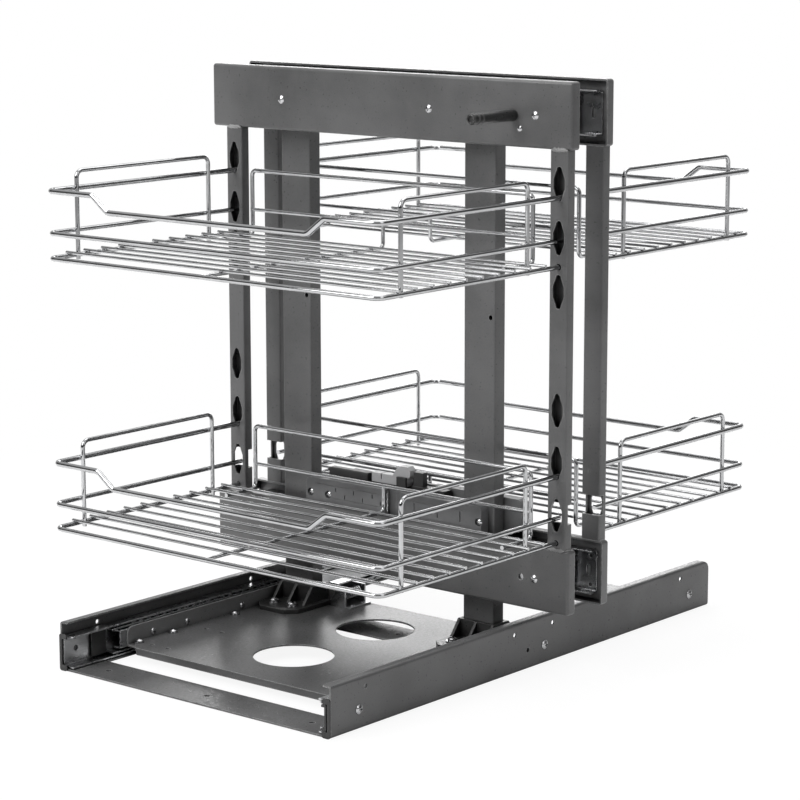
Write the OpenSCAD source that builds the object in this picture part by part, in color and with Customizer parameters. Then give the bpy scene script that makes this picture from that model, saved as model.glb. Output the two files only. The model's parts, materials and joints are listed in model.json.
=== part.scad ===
// Pull-out corner cabinet unit with four wire baskets.
// A base screwed to the cabinet floor carries a platform on two telescopic slides.
// Two posts on the platform carry a front and a rear frame, each on two slides.
// Each frame slides sideways and carries two wire baskets on hooked wire ends.
// Millimetres. X is the width, Y the depth with the door at -Y, Z is up.
// The origin is the middle of the base, on the cabinet floor.

/* [Base] */
// Width of the base over its side rails
base_w = 294; // [286:1:310]
// Depth of the base
base_d = 510; // [500:1:560]
// Height of the side rails
rail_h = 41; // [39:1:46]
// Thickness of the folded sheet steel
sheet = 1.5; // [1.2:0.1:2]
// Width of the fold along the top of a side rail
rail_top_fold = 8; // [5:1:10]
// Width of the foot along the bottom of a side rail
rail_foot = 13; // [13:0.5:16]
// Radius of the rounded top back corner of a side rail
rail_corner_r = 8; // [4:1:12]
// Depth of each flat plate that joins the side rails
cross_plate_d = 38; // [30:1:44]
// Diameter of the floor screw holes
floor_hole_d = 5; // [4:0.5:6]
// Distance of the outer floor screw holes from the middle
floor_hole_x = 111; // [80:1:116]

/* [Base slides] */
// Height of the telescopic slides in the base
base_slide_h = 27; // [26:0.5:28]
// Thickness of the telescopic slides in the base
base_slide_t = 12.7; // [12.5:0.1:13]
// Thickness of the rolled steel of every slide
slide_steel = 1.2; // [1:0.1:1.4]
// Length of the fixed slide members
base_outer_l = 500; // [460:5:500]
// Length of the middle slide members
base_middle_l = 440; // [400:5:450]
// Length of the slide members on the platform
base_inner_l = 400; // [360:5:410]
// How far the middle members stand back from the front
base_middle_inset = 46; // [40:1:50]
// How far the platform members stand back from the front
base_inner_inset = 54; // [52:1:60]
// Height of the slides above the cabinet floor
base_slide_z = 2.5; // [2:0.25:4]

/* [Platform] */
// Depth of the platform
platform_d = 234; // [226:1:260]
// How far the platform stands back from the front of the base
platform_inset = 55; // [52:1:60]
// Height of the top of the platform
platform_z = 12; // [11:0.5:13]
// Depth of the fold along the front of the platform
platform_lip = 6; // [4:0.5:8]
// Diameter of the two large holes
platform_hole_d = 67; // [40:1:74]
// Distance between the two large holes
platform_hole_pitch = 103; // [90:1:104]
// Height of the flanges that join the platform to its slides
bracket_h = 15; // [13:0.5:16]

/* [Posts] */
// Width of the posts
post_w = 32; // [28:1:34]
// Thickness of the posts
post_t = 13.8; // [12:0.2:14]
// Wall of the posts
post_wall = 1.5; // [1.2:0.1:2]
// Middle of the left post
left_post_x = -107; // [-112:1:-100]
// Middle of the right post
right_post_x = 93; // [88:1:96]
// Width of the foot of a post
foot_w = 46; // [42:1:48]
// Depth of the foot of a post
foot_d = 86; // [80:1:88]
// Height of the foot of a post
foot_h = 19; // [16:1:22]

/* [Frames] */
// Width of a frame
frame_w = 383; // [376:1:400]
// Middle of the frames
frame_x = 8.5; // [6:0.5:11]
// Height of the top of the frames
frame_top = 482; // [470:1:500]
// Height of the bottom of the frames
frame_bottom = 57; // [54:1:58]
// Distance over the outer faces of the two frames
frame_gap = 56; // [54:0.5:58]
// Height of the top and bottom rails
tray_h = 53; // [50:1:56]
// Depth of the folds of rails and stiles
tray_d = 9.5; // [8:0.1:9.5]
// Radius of the bends of rails and stiles
bend_r = 2.5; // [2:0.1:3]
// Width of the stiles
stile_w = 17.5; // [16:0.5:19]
// Distance from the left end of a frame to its left stile
left_stile_inset = 15.6; // [10:0.2:20]
// Distance from the right end of a frame to its right stile
right_stile_inset = 3.4; // [1:0.2:6]

/* [Stile holes] */
// Distance between the long holes of a group
hole_pitch = 42.4; // [40:0.1:46]
// Height of the middle of the top hole above the floor
upper_hole_z = 402.7; // [390:0.1:410]
// Height of the middle of the fourth hole above the floor
lower_hole_z = 223.2; // [220:0.1:230]
// Height of a long hole
hole_h = 27; // [24:0.5:28]
// Width of a long hole
hole_w = 11; // [9:0.5:12]
// Width of the narrow ends of a long hole
hole_tip_w = 5.2; // [5.2:0.1:6]

/* [Frame slides] */
// Height of the slides between posts and frames
frame_slide_h = 36; // [35:0.5:37]
// Length of the slide channel on a frame
frame_channel_l = 360; // [340:1:364]
// Length of the slide channel on the posts
post_channel_l = 322; // [300:1:330]
// Length of the beam that runs between the two channels
beam_l = 334; // [300:1:340]

/* [Baskets] */
// Distance from a stile to the middle of the outer wires
basket_d = 217.5; // [180:0.5:226]
// Height of the rim above the bottom wires
basket_h = 54.3; // [50:0.1:60]
// Height of the middle wires above the bottom wires
middle_wire_h = 20.4; // [16:0.1:26]
// Diameter of the rim wire
rim_d = 4.6; // [4:0.1:5]
// Diameter of the middle and bottom wires
side_d = 4; // [3.4:0.1:4.4]
// Diameter of the raised gallery wires
gallery_d = 3.6; // [3:0.1:4]
// Diameter of the floor wires
floor_wire_d = 2.6; // [2:0.1:3.2]
// Number of floor wires
floor_wires = 10; // [6:1:11]
// Distance from the outer wire to the first floor wire
first_floor_wire = 21.3; // [16:0.1:24]
// Distance between floor wires
floor_pitch = 19.7; // [17:0.1:19.8]
// Depth of the dip in the rim
dip_h = 12.6; // [6:0.3:15]
// Half width of the dip at its bottom
dip_half = 105; // [90:1:112]
// Height of the side galleries above the rim
gallery_rise = 14.3; // [8:0.1:20]
// Distance from a stile to the near leg of a side gallery
gallery_near = 36; // [30:1:60]
// Distance from a stile to the far leg of a side gallery
gallery_far = 188.5; // [150:0.5:190]
// Distance from the basket's middle to a leg of the back gallery
back_leg_x = 150; // [130:1:155]
// Length of the feet of the back gallery
back_foot_l = 40; // [30:1:50]
// Radius of the bends in the wires
wire_bend_r = 7.5; // [6:1.5:9]

/* [Handles] */
// Length of the peg handle
peg_l = 54; // [40:1:60]
// Diameter of the peg handle
peg_d = 9.4; // [8:0.1:12]
// Distance from the right end of a frame to the peg
peg_inset = 57.8; // [50:0.1:70]

/* [Dampers] */
// Height of the damper housings
damper_h = 27; // [24:1:30]
// Thickness of the damper housings
damper_t = 9.6; // [8:0.1:10]
// Length of the damper housings
damper_l = 192; // [180:1:200]
// Height of the bottom of the damper housings
damper_z = 104; // [103:1:110]
// Length of the catch lever to the left of its pivot
lever_l = 34; // [28:1:38]
// Tilt of the catch lever either way, in degrees
lever_tilt = 6; // [4:1:8]

/* [Hidden] */
// Running clearance between faces that slide past each other
clear = 0.3;
// How deep a welded wire sinks into the wire it crosses
weld = 0.45;
// Overlap that keeps a cut clear of the face it goes through
cut = 0.5;
// Middle of the posts in depth
post_y = -0.9;
front_y = -base_d / 2;
back_y = base_d / 2;
rail_inner_x = base_w / 2 - sheet;
// Side rail screws and holes, along the rail from its front end
rail_screw_z = 16.1;
rail_screw_y = [32.5, 267, 479.5];
rail_hole_d = 4;
rail_high_hole_z = 32.4;
rail_high_hole_y = [40.5, 227, 278.5, 466];
rail_low_hole_y = 244.5;
screw_head_d = 8;
screw_head_h = 2.2;
screw_d = 3.6;
end_cap_w = 8.1;
end_cap_wall = 2.6;
end_cap_t = 1.5;
end_cap_h = 31;
rail_front_r = 2;
rail_bend_r = 2.5;
// Cross plates lie at the front, at the middle and at the back
cross_plate_y = [front_y, -cross_plate_d / 2, back_y - cross_plate_d];
cross_plate_x = rail_inner_x - rail_foot;
floor_hole_y = back_y - cross_plate_d / 2;
// Slide sections of the base, nested from the rail inwards
ball_gap = 1.6;
base_outer_lip = base_slide_t - 1;
base_middle_h = base_slide_h - 2 * (slide_steel + ball_gap);
base_middle_x = slide_steel + 1;
base_middle_lip = base_slide_t - 0.8 - base_middle_x;
base_inner_h = base_middle_h - 2 * (slide_steel + ball_gap);
base_inner_lip = base_slide_t - 4.4;
base_slide_mid_z = base_slide_z + base_slide_h / 2;
slide_face_x = rail_inner_x - base_slide_t;
outer_front_y = front_y + 1.2;
middle_front_y = front_y + base_middle_inset;
inner_front_y = front_y + base_inner_inset;
ball_d = 1.1;
ball_pitch = 9;
cage_t = 0.5;
cage_w = 5;
cage_x = 4.7;
buffer_l = 16;
buffer_t = 1.6;
right_beam_inset = 3;
plug_t = 4.6;
screw_tip = 0.5;
// Platform and the flanges beside it
platform_y = front_y + platform_inset;
platform_back_y = platform_y + platform_d;
bracket_x = slide_face_x - sheet;
bracket_foot = 12;
bracket_inset = 6;
bracket_front_r = 6;
bracket_screw_y = [36, 77, 145];
hole_clear = 30;
platform_corner = 14;
platform_hole_y = platform_y + 66.5;
small_hole_d = 4;
small_hole_x = [-112.5, -94.3];
small_hole_y = [15.6, 80.4];
platform_screw_x = bracket_x - 5.5;
platform_screw_y = [14, 54, 130];
washer_d = 8.4;
washer_t = 0.8;
// Posts, from the feet up to the top slides
post_bottom = platform_z + 4;
post_top = frame_top - 8;
foot_plate_t = 4;
foot_corner = 9;
foot_wall = 3;
foot_rib_t = 2.6;
foot_bolt_x = 10.5;
foot_bolt_y = 28;
bolt_d = 5;
bolt_head_d = 8;
bolt_head_h = 3.4;
bolt_washer_d = 11;
// Slides between the posts and the frames
frame_face_y = frame_gap / 2;
slide_space = frame_gap / 2 - sheet - post_t / 2;
frame_slide_lip = slide_space / 2 - 0.6;
beam_h = frame_slide_h - 2 * (slide_steel + clear);
beam_w = slide_space - 2 * (slide_steel + 1.4);
top_slide_z = frame_top - tray_h / 2 - 0.8;
bottom_slide_z = frame_bottom + tray_h / 2 - 0.8;
channel_right_inset = 10;
post_channel_x = -170;
frame_left = frame_x - frame_w / 2;
frame_right = frame_x + frame_w / 2;
channel_slot = [4, 9];
// Stiles and their holes
left_stile_x = frame_left + left_stile_inset;
right_stile_x = frame_right - right_stile_inset - stile_w;
hole_levels = [for (first = [upper_hole_z, lower_hole_z], n = [0:2]) first - n * hole_pitch];
hole_belly = 8;
notch_z = 131;
notch_h = 16;
pin_hole_d = side_d + 1.2;
stile_r = 1.2;
// Rim heights: each rim wire lies in the narrow lower end of a long hole
rim_in_hole = hole_h / 2 - rim_d / 2 - clear;
upper_rim_z = upper_hole_z - rim_in_hole;
lower_rim_z = lower_hole_z - hole_pitch - rim_in_hole;
// The side wires of a basket run into the middles of the stiles
basket_w = right_stile_x - left_stile_x;
basket_x = (left_stile_x + right_stile_x + stile_w) / 2;
hook_l = 9;
hook_r = 3;
hook_y = sheet + rim_d / 2 + clear;
gallery_inset = (side_d + gallery_d) / 2 - weld;
gallery_bend_r = 6;
back_gallery_y = rim_d / 2 + clear;
back_mid_drop = 32;
cross_wire_x = -4;
// Screws of the frames, from the left end of a frame
frame_screw_x = [79, 239.4, 346.8];
bottom_screw_x = [239.3, 349.2];
bottom_hole_x = 336;
rivet_x = 331.9;
rivet_drop = 11;
rivet_d = 5;
peg_collar_d = 5.6;
peg_tip_l = 3;
peg_groove = 0.5;
peg_groove_l = 1.2;
peg_z = frame_top - tray_h / 2 - 1.5;
// Damper housings, catch lever and the latch behind the platform
damper_x = left_post_x + post_w / 2 + 2;
rear_damper_shift = [24, 0, 5];
head_sink = 1.4;
carrier_margin = 3;
damper_corner = 5;
damper_rib = 0.8;
// Right-hand end of the left block and the two steps of the gap beside it
damper_block_l = 89;
damper_slot_w = 9;
damper_step_w = 8;
damper_slot_t = 6;
damper_step_t = 3.5;
mark_size = [1.2, 3.5];
mark_depth = 0.8;
high_mark_x = [34, 54, 75];
high_mark_z = 19;
low_mark_x = [44, 64, 84];
low_mark_z = 14;
long_mark_x = [121, 146, 170];
long_mark_h = 9;
// Lever, seen from the front, about its pivot
lever_x = 9;
lever_z = damper_z + damper_h + 6;
lever_h = 8;
lever_t = 8;
lever_pivot_d = 4;
lever_hub_d = 10;
lever_block = 10;
lug_w = 10;
lug_t = 2;
bar_x = -73;
bar_l = 43;
bar_top = 8;
shelf_x = 20;
shelf_l = 35;
shelf_top = 7;
stop_w = 10;
stop_h = 12;
// Latch on the platform, beside and behind the left foot
latch_x = left_post_x + foot_w / 2 + 1;
latch_y = post_y + 5.9;
latch_w = 24;
latch_l = 28;
latch_h = 21;
latch_roof = 10;
latch_tab = 18;
spring_r = 4;
spring_wire_d = 1.3;
spring_turns = 9;
spring_steps = 16;
spring_sides = 8;
spring_end_gap = 0.05;
spring_pitch = (latch_l - 2 * sheet - 2 * spring_end_gap - spring_wire_d) / spring_turns;

DARK = "#3b3c3f";
BLACK = "#161618";
CHROME = "#c8ccd0";
ZINC = "#9aa0a6";
GREY = "#5b5e62";
LIGHT = "#b9bbbd";

// Rounded rectangle with its lower left corner at the origin
module rounded_rect(size, r) {
    translate([r, 0]) square([size.x - 2 * r, size.y]);
    translate([0, r]) square([size.x, size.y - 2 * r]);
    for (x = [r, size.x - r], y = [r, size.y - r])
        translate([x, y]) circle(r, $fn = 48);
}

// Cylinder along X, Y or Z with one end at a point
module rod(point, axis, length, d) {
    translate(point)
        rotate(axis == "x" ? [0, 90, 0] : axis == "y" ? [-90, 0, 0] : [0, 0, 0])
            cylinder(h = length, d = d, $fn = 32);
}

// Pan head with a cross recess, its seat at the origin and its head along +Z
module pan_head(d, h, recess = true) {
    difference() {
        intersection() {
            cylinder(h = h, d = d, $fn = 48);
            translate([0, 0, h - d * 0.72]) sphere(d * 0.72, $fn = 64);
        }
        if (recess)
            for (turn = [0, 90])
                rotate(turn)
                    translate([-d * 0.25, -d * 0.06, h * 0.45]) cube([d * 0.5, d * 0.12, h]);
    }
}

// Channel section in the XY plane: web along Y at x = 0, lips towards +X, with rounded bends
module channel_section(height, lip, t, r) {
    difference() {
        intersection() {
            rounded_rect([2 * lip, height], r);
            square([lip, height]);
        }
        translate([t, t]) rounded_rect([2 * lip, height - 2 * t], max(r - t, 0.2));
    }
}

// Channel along Y: the web at x = 0 stands on z = 0, and the lips point to +X
module channel_y(length, height, lip, t, r) {
    rotate([90, 0, 0]) translate([0, 0, -length]) linear_extrude(length)
        channel_section(height, lip, t, r);
}

// Mirrors its children to one side of the base, as seen from the front
module side(left) {
    mirror([left ? 0 : 1, 0, 0]) children();
}

// Mirrors its children to the rear frame, about the middle of the posts
module front_or_rear(front) {
    translate([0, post_y, 0]) mirror([0, front ? 0 : 1, 0]) children();
}

// Cross-section of a side rail: web at x = 0, narrow fold on top and wide foot below
module rail_section() {
    channel_section(rail_h, rail_top_fold, sheet, rail_bend_r);
    translate([rail_top_fold - cut, 0]) square([sheet + rail_foot - rail_top_fold + cut, sheet]);
}

// Side view of a side rail, with its two top corners rounded
module rail_profile() {
    translate([front_y, 0]) square([base_d, rail_h - rail_corner_r]);
    translate([front_y, 0]) square([base_d / 2, rail_h - rail_front_r]);
    translate([front_y + rail_front_r, 0]) square([base_d - rail_front_r - rail_corner_r, rail_h]);
    translate([front_y + rail_front_r, rail_h - rail_front_r]) circle(rail_front_r, $fn = 48);
    translate([back_y - rail_corner_r, rail_h - rail_corner_r]) circle(rail_corner_r, $fn = 64);
}

// One side rail, drawn on the left and folded from one sheet
module base_rail(left) {
    color(DARK) side(left) difference() {
        intersection() {
            translate([-base_w / 2, back_y, 0]) rotate([90, 0, 0]) linear_extrude(base_d)
                rail_section();
            translate([-base_w / 2 - cut, 0, 0]) rotate([90, 0, 90])
                linear_extrude(sheet + rail_foot + 2 * cut) rail_profile();
        }
        for (y = rail_high_hole_y)
            rod([-base_w / 2 - cut, front_y + y, rail_high_hole_z], "x", sheet + 2 * cut, rail_hole_d);
        rod([-base_w / 2 - cut, front_y + rail_low_hole_y, rail_screw_z], "x", sheet + 2 * cut,
            rail_hole_d);
        for (y = rail_screw_y)
            rod([-base_w / 2 - cut, front_y + y, rail_screw_z], "x", sheet + 2 * cut,
                screw_d + 2 * clear);
    }
}

module left_base_rail() { base_rail(true); }
module right_base_rail() { base_rail(false); }

// Flat plate between the feet of the side rails, with floor screw holes
module cross_plate(y, outer_holes) {
    color(DARK) difference() {
        translate([-cross_plate_x, y, 0]) cube([2 * cross_plate_x, cross_plate_d, sheet]);
        for (x = outer_holes ? [-floor_hole_x, 0, floor_hole_x] : [0])
            rod([x, y + cross_plate_d / 2, -cut], "z", sheet + 2 * cut, floor_hole_d);
    }
}

module front_cross_plate() { cross_plate(cross_plate_y[0], true); }
module middle_cross_plate() { cross_plate(cross_plate_y[1], false); }
module rear_cross_plate() { cross_plate(cross_plate_y[2], true); }

// Plastic caps round the front ends of the slide channels, open where the middle members run out
module rail_end_caps() {
    color(BLACK) for (left = [true, false]) side(left)
        translate([-base_w / 2, front_y, 0]) rotate([90, 0, 0]) linear_extrude(end_cap_t) difference() {
            rounded_rect([end_cap_w, end_cap_h], 2);
            translate([end_cap_wall, base_slide_mid_z - base_middle_h / 2 - clear])
                square([end_cap_w, base_middle_h + 2 * clear]);
        }
}

// Chrome screws that hold the fixed slide channels to the side rails
module base_rail_screws() {
    color(CHROME) for (left = [true, false], y = rail_screw_y) side(left)
        translate([-base_w / 2, front_y + y, rail_screw_z]) rotate([0, -90, 0]) {
            pan_head(screw_head_d, screw_head_h);
            translate([0, 0, -sheet - slide_steel - screw_tip])
                cylinder(h = sheet + slide_steel + screw_tip + cut, d = screw_d, $fn = 32);
        }
}

// Fixed channel of a base slide
module base_channel(left) {
    color(ZINC) side(left) difference() {
        translate([-rail_inner_x, outer_front_y, base_slide_z])
            channel_y(base_outer_l, base_slide_h, base_outer_lip, slide_steel, 2);
        for (y = rail_screw_y)
            rod([-rail_inner_x - cut, front_y + y, rail_screw_z], "x", slide_steel + 2 * cut,
                screw_d + 2 * clear);
        rod([-rail_inner_x - cut, outer_front_y + 13, base_slide_mid_z], "x", slide_steel + 2 * cut, 5);
    }
}

module left_base_channel() { base_channel(true); }
module right_base_channel() { base_channel(false); }

// The middle members float: the left one stands further back than the right one
function beam_front_y(left) = left ? middle_front_y : front_y + right_beam_inset;

// Plastic pieces on the front ends of the middle members: a long buffer and a short plug
module base_slide_buffers() {
    color(BLACK) for (left = [true, false]) side(left)
        translate([-rail_inner_x + base_middle_x, beam_front_y(left),
            base_slide_mid_z - base_middle_h / 2])
            rotate([90, 0, 0]) linear_extrude(left ? buffer_l : right_beam_inset + end_cap_t)
                difference() {
                rounded_rect([left ? buffer_t : plug_t, base_middle_h], left ? 0.5 : 1.5);
                // Window through which the platform member runs
                translate([buffer_t, (base_middle_h - base_inner_h) / 2 - clear])
                    square([plug_t, base_inner_h + 2 * clear]);
            }
}

// Middle member of a base slide, nested in the fixed channel
module base_beam(left) {
    color(ZINC) side(left)
        translate([-rail_inner_x + base_middle_x, beam_front_y(left),
            base_slide_mid_z - base_middle_h / 2])
            channel_y(base_middle_l, base_middle_h, base_middle_lip, slide_steel, 1.8);
}

module left_base_beam() { base_beam(true); }
module right_base_beam() { base_beam(false); }

// Ball cages above and below each middle member: a strip with a row of balls
module base_ball_cages() {
    cage_l = base_middle_l - 60;
    balls = floor((cage_l - ball_pitch) / ball_pitch);
    color(CHROME) for (left = [true, false], up = [0, 1]) side(left)
        translate([-rail_inner_x + base_middle_x + cage_x, beam_front_y(left) + 20, base_slide_mid_z])
            mirror([0, 0, up]) translate([0, 0, base_middle_h / 2 + (ball_gap - cage_t) / 2]) {
                cube([cage_w, cage_l, cage_t]);
                for (n = [0 : balls])
                    translate([cage_w / 2, (n + 0.5) * ball_pitch, cage_t / 2])
                        sphere(d = ball_d, $fn = 16);
            }
}

// Slide member that carries the platform, open towards the rail
module platform_slide(left) {
    color(ZINC) side(left) difference() {
        translate([-slide_face_x, inner_front_y, base_slide_mid_z - base_inner_h / 2]) mirror([1, 0, 0])
            channel_y(base_inner_l, base_inner_h, base_inner_lip, slide_steel, 1.6);
        for (y = bracket_screw_y)
            rod([-slide_face_x - slide_steel - cut, platform_y + y, base_slide_mid_z], "x",
                slide_steel + 2 * cut, screw_d + 2 * clear);
    }
}

module left_platform_slide() { platform_slide(true); }
module right_platform_slide() { platform_slide(false); }

// Angle between a platform slide and the platform: upright leg and a foot under the plate
module platform_bracket(left) {
    color(GREY) side(left) difference() {
        union() {
            translate([-slide_face_x, platform_y + bracket_inset, platform_z - sheet])
                rotate([90, 0, 90])
                linear_extrude(sheet) {
                    translate([bracket_front_r, 0])
                        square([platform_d - bracket_inset - bracket_front_r, bracket_h]);
                    square([bracket_front_r + cut, bracket_h - bracket_front_r]);
                    translate([bracket_front_r, bracket_h - bracket_front_r])
                        circle(bracket_front_r, $fn = 48);
                }
            translate([-slide_face_x, platform_y + bracket_inset, platform_z - 2 * sheet])
                cube([bracket_foot, platform_d - bracket_inset, sheet]);
        }
        for (y = bracket_screw_y)
            rod([-slide_face_x - cut, platform_y + y, base_slide_mid_z], "x", sheet + 2 * cut,
                screw_d + 2 * clear);
        for (y = platform_screw_y)
            rod([-platform_screw_x, platform_y + y, platform_z - 3 * sheet], "z", 2 * sheet,
                screw_d + 2 * clear);
    }
}

module left_platform_bracket() { platform_bracket(true); }
module right_platform_bracket() { platform_bracket(false); }

// Outline of the platform with cut front corners
module platform_outline() {
    half = bracket_x - clear;
    nose = half - platform_corner;
    polygon([
        [-nose, platform_y], [nose, platform_y], [half, platform_y + platform_corner],
        [half, platform_back_y], [-half, platform_back_y], [-half, platform_y + platform_corner]
    ]);
}

// Platform plate with its two large holes, small holes and a fold along the front
module platform() {
    color(DARK) difference() {
        union() {
            translate([0, 0, platform_z - sheet]) linear_extrude(sheet) platform_outline();
            translate([-bracket_x + clear + platform_corner + sheet, platform_y,
                platform_z - platform_lip])
                cube([2 * (bracket_x - clear - platform_corner - sheet), sheet, platform_lip]);
        }
        for (n = [0, 1])
            rod([0, platform_hole_y + n * platform_hole_pitch, platform_z - sheet - cut], "z",
                sheet + 2 * cut, platform_hole_d);
        for (x = small_hole_x, y = small_hole_y)
            rod([x, platform_y + y, platform_z - sheet - cut], "z", sheet + 2 * cut, small_hole_d);
        for (s = [-1, 1], y = platform_screw_y)
            rod([s * platform_screw_x, platform_y + y, platform_z - sheet - cut], "z",
                sheet + 2 * cut, screw_d + 2 * clear);
        for (x = [left_post_x, right_post_x], s = [-1, 1], t = [-1, 1])
            rod([x + s * foot_bolt_x, post_y + t * foot_bolt_y, platform_z - sheet - cut], "z",
                sheet + 2 * cut, bolt_d + 2 * clear);
    }
}

// Screws down through the platform, with washers, and sideways into the slides
module platform_screws() {
    color(CHROME) {
        for (s = [-1, 1], y = platform_screw_y)
            translate([s * platform_screw_x, platform_y + y, platform_z]) {
                cylinder(h = washer_t, d = washer_d, $fn = 48);
                translate([0, 0, washer_t]) pan_head(screw_head_d - 1.4, screw_head_h);
                translate([0, 0, -2 * sheet - 1])
                    cylinder(h = 2 * sheet + 1 + cut, d = screw_d, $fn = 32);
            }
        for (left = [true, false], y = bracket_screw_y) side(left)
            translate([-slide_face_x + sheet, platform_y + y, base_slide_mid_z]) rotate([0, 90, 0]) {
                pan_head(screw_head_d - 2, screw_head_h - 0.6);
                translate([0, 0, -sheet - slide_steel - 1])
                    cylinder(h = sheet + slide_steel + 1 + cut, d = screw_d, $fn = 32);
            }
    }
}

// Side view of a foot's cheeks: wide at the plate, narrow round the post
module cheek_outline() {
    reach = foot_d / 2 - 18;
    polygon([
        [-reach, 0], [reach, 0],
        [post_t / 2 + foot_wall, foot_h], [-post_t / 2 - foot_wall, foot_h]
    ]);
}

// Foot of a post: a bolted plate, a socket round the post, two ribs before and behind
module foot(x) {
    color(BLACK) translate([x, post_y, platform_z]) difference() {
        union() {
            // Bolted plate with cut corners
            linear_extrude(foot_plate_t) difference() {
                square([foot_w, foot_d], center = true);
                for (s = [-1, 1], t = [-1, 1])
                    translate([s * foot_w / 2, t * foot_d / 2]) rotate(45)
                        square(foot_corner * sqrt(2), center = true);
            }
            // Socket
            translate([-post_w / 2 - foot_wall, -post_t / 2 - foot_wall, 0])
                cube([post_w + 2 * foot_wall, post_t + 2 * foot_wall, foot_h]);
            // Ribs in front of and behind the post
            for (rib = [-post_w / 2 - foot_wall, -foot_rib_t / 2, post_w / 2 + foot_wall - foot_rib_t])
                translate([rib, 0, 0]) rotate([90, 0, 90]) linear_extrude(foot_rib_t) cheek_outline();
        }
        translate([-post_w / 2 - clear, -post_t / 2 - clear, post_bottom - platform_z])
            cube([post_w + 2 * clear, post_t + 2 * clear, foot_h]);
        for (s = [-1, 1], t = [-1, 1])
            rod([s * foot_bolt_x, t * foot_bolt_y, -cut], "z", foot_plate_t + 2 * cut,
                bolt_d + 2 * clear);
    }
}

module left_foot() { foot(left_post_x); }
module right_foot() { foot(right_post_x); }

// Bolts with washers that hold the feet to the platform
module foot_bolts() {
    color(CHROME) for (x = [left_post_x, right_post_x], s = [-1, 1], t = [-1, 1])
        translate([x + s * foot_bolt_x, post_y + t * foot_bolt_y, platform_z + foot_plate_t]) {
            cylinder(h = washer_t, d = bolt_washer_d, $fn = 48);
            translate([0, 0, washer_t]) pan_head(bolt_head_d, bolt_head_h);
            translate([0, 0, -foot_plate_t - sheet - 3])
                cylinder(h = foot_plate_t + sheet + 3 + cut, d = bolt_d, $fn = 32);
        }
}

// Upright tube of a post, open at the top and closed by the foot below
module post(x) {
    color(DARK) difference() {
        translate([x - post_w / 2, post_y - post_t / 2, post_bottom])
            linear_extrude(post_top - post_bottom)
            rounded_rect([post_w, post_t], 1.2);
        translate([x - post_w / 2 + post_wall, post_y - post_t / 2 + post_wall, post_bottom - cut])
            linear_extrude(post_top - post_bottom + 2 * cut)
                rounded_rect([post_w - 2 * post_wall, post_t - 2 * post_wall], 0.5);
        rod([x + post_w / 2 - 4.5, post_y - post_t / 2 - cut, 286.7], "y", post_t + 2 * cut,
            rail_hole_d);
    }
}

module left_post() { post(left_post_x); }
module right_post() { post(right_post_x); }

// Front housing at the origin, rear housing further right and higher
function damper_place(front) =
    [damper_x, -post_t / 2 - damper_t, damper_z] + (front ? [0, 0, 0] : rear_damper_shift);
function damper_screw_x(front) =
    [damper_x + 5, damper_x + 25, right_post_x + 7] + (front ? [0, 0, 0] : [24, 24, 0]);

// Shallow upright mark in the face of a housing
module damper_mark(x, z, size) {
    translate([x - size.x / 2, -cut, z - size.y / 2]) cube([size.x, mark_depth + cut, size.y]);
}

// Plastic housing of a damper, screwed to the carrier and the right post
module damper_housing(front) {
    place = damper_place(front);
    front_or_rear(front) difference() {
        translate(place) difference() {
            rotate([90, 0, 0]) translate([0, 0, -damper_t]) linear_extrude(damper_t)
                rounded_rect([damper_l, damper_h], damper_corner);
            // Stepped gap between the two halves
            translate([damper_block_l, -cut, -cut])
                cube([damper_slot_w + cut, damper_slot_t + cut, damper_h + 2 * cut]);
            translate([damper_block_l + damper_slot_w, -cut, -cut])
                cube([damper_step_w, damper_step_t + cut, damper_h + 2 * cut]);
            // Small upright marks in the face
            for (x = high_mark_x) damper_mark(x, high_mark_z, mark_size);
            for (x = low_mark_x) damper_mark(x, low_mark_z, mark_size);
            for (x = long_mark_x) damper_mark(x, damper_h / 2 + 2, [mark_size.x, long_mark_h]);
            // Thin grooves along the face
            translate([12, -cut, 22]) cube([damper_block_l - 18, damper_rib / 2 + cut, damper_rib / 2]);
            translate([31, -cut, 11]) cube([damper_block_l - 37, damper_rib / 2 + cut, damper_rib / 2]);
            for (z = [8, 21])
                translate([damper_l - 78, -cut, z]) cube([60, damper_rib / 2 + cut, damper_rib / 2]);
        }
        for (x = damper_screw_x(front)) {
            rod([x, place.y - cut, place.z + damper_h / 2], "y", damper_t + 2 * cut,
                screw_d + 2 * clear);
            rod([x, place.y - cut, place.z + damper_h / 2], "y", head_sink + cut, screw_head_d - 1);
        }
    }
}

module front_damper() { color(GREY) damper_housing(true); }
module rear_damper() { color(GREY) damper_housing(false); }

// Screws sunk into the faces of the damper housings
module damper_screws() {
    color(CHROME) for (front = [true, false], x = damper_screw_x(front)) front_or_rear(front)
        translate([x, damper_place(front).y + head_sink, damper_place(front).z + damper_h / 2])
            rotate([90, 0, 0]) {
            pan_head(screw_head_d - 2, head_sink - 0.1);
            translate([0, 0, -damper_t + head_sink])
                cylinder(h = damper_t - head_sink + cut, d = screw_d, $fn = 32);
        }
}

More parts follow.
